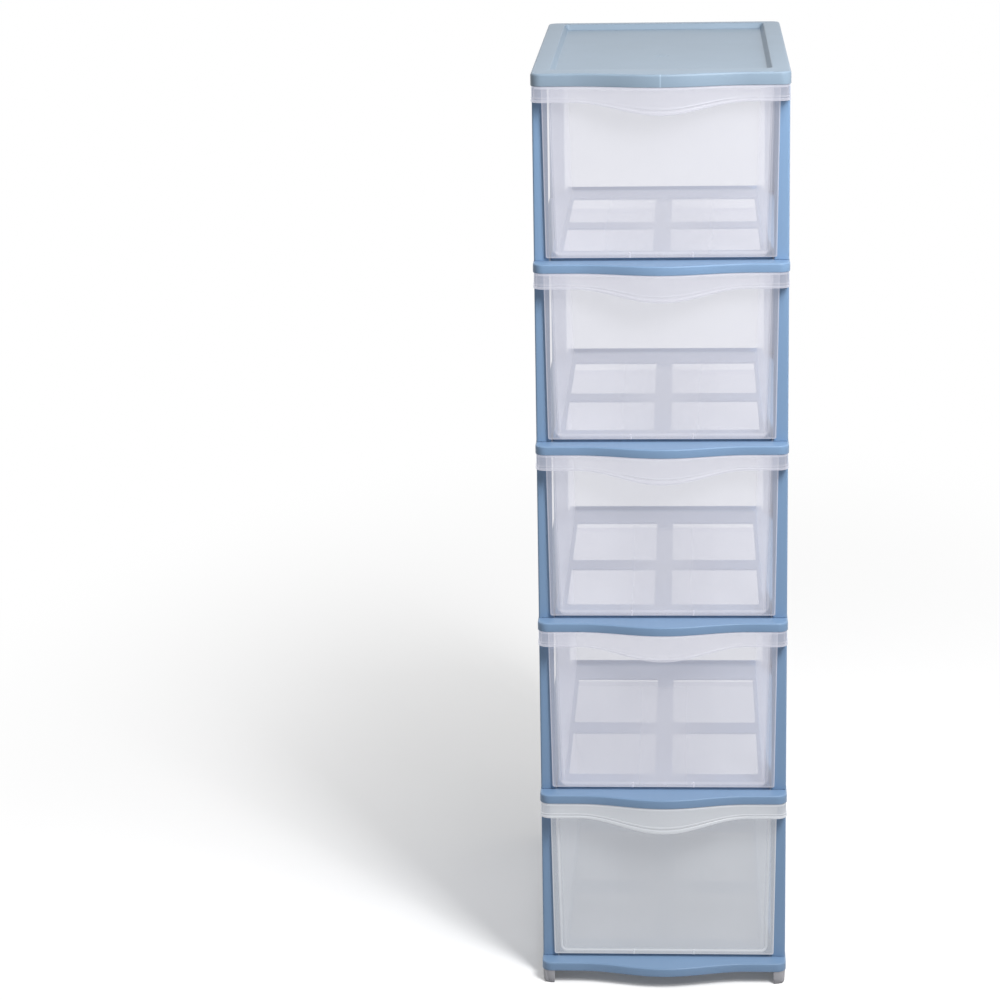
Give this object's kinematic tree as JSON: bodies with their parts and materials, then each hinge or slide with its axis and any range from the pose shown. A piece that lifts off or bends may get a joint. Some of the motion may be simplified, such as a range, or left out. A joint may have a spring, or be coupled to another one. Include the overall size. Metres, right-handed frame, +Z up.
{
  "type": "plastic drawer tower",
  "caption": "Slim free-standing tower of translucent plastic drawers that slide on open blue shelves held apart by corner posts.",
  "frame": {"origin": "centre of the bounding box in plan, on the surface that the feet stand on", "axes": "+Z up the tower, +X to the right seen from the front, the drawers pull out towards -Y"},
  "size_m": [0.22, 0.401, 0.823],
  "materials": {
    "frame_plastic": "moulded light blue plastic, fine satin grain",
    "drawer_plastic": "translucent milky plastic, smooth",
    "foot_plastic": "moulded grey plastic"
  },
  "bodies": {
    "frame": {"top_cover": "frame_plastic", "shelf_1": "frame_plastic", "shelf_2": "frame_plastic", "shelf_3": "frame_plastic", "shelf_4": "frame_plastic", "shelf_5": "frame_plastic", "post_1_front_left": "frame_plastic", "post_1_front_right": "frame_plastic", "post_1_rear_left": "frame_plastic", "post_1_rear_right": "frame_plastic", "post_2_front_left": "frame_plastic", "post_2_front_right": "frame_plastic", "post_2_rear_left": "frame_plastic", "post_2_rear_right": "frame_plastic", "post_3_front_left": "frame_plastic", "post_3_front_right": "frame_plastic", "post_3_rear_left": "frame_plastic", "post_3_rear_right": "frame_plastic", "post_4_front_left": "frame_plastic", "post_4_front_right": "frame_plastic", "post_4_rear_left": "frame_plastic", "post_4_rear_right": "frame_plastic", "post_5_front_left": "frame_plastic", "post_5_front_right": "frame_plastic", "post_5_rear_left": "frame_plastic", "post_5_rear_right": "frame_plastic", "foot_front_left": "foot_plastic", "foot_front_right": "foot_plastic", "foot_rear_left": "foot_plastic", "foot_rear_right": "foot_plastic"},
    "drawer_1": {"drawer_1": "drawer_plastic"},
    "drawer_2": {"drawer_2": "drawer_plastic"},
    "drawer_3": {"drawer_3": "drawer_plastic"},
    "drawer_4": {"drawer_4": "drawer_plastic"},
    "drawer_5": {"drawer_5": "drawer_plastic"}
  },
  "joints": [
    {"name": "drawer_1_slide", "type": "slide", "parent": "frame", "child": "drawer_1", "axis": [0, -1, 0], "range_m": [0, 0.3]},
    {"name": "drawer_2_slide", "type": "slide", "parent": "frame", "child": "drawer_2", "axis": [0, -1, 0], "range_m": [0, 0.3]},
    {"name": "drawer_3_slide", "type": "slide", "parent": "frame", "child": "drawer_3", "axis": [0, -1, 0], "range_m": [0, 0.3]},
    {"name": "drawer_4_slide", "type": "slide", "parent": "frame", "child": "drawer_4", "axis": [0, -1, 0], "range_m": [0, 0.3]},
    {"name": "drawer_5_slide", "type": "slide", "parent": "frame", "child": "drawer_5", "axis": [0, -1, 0], "range_m": [0, 0.3]}
  ]
}
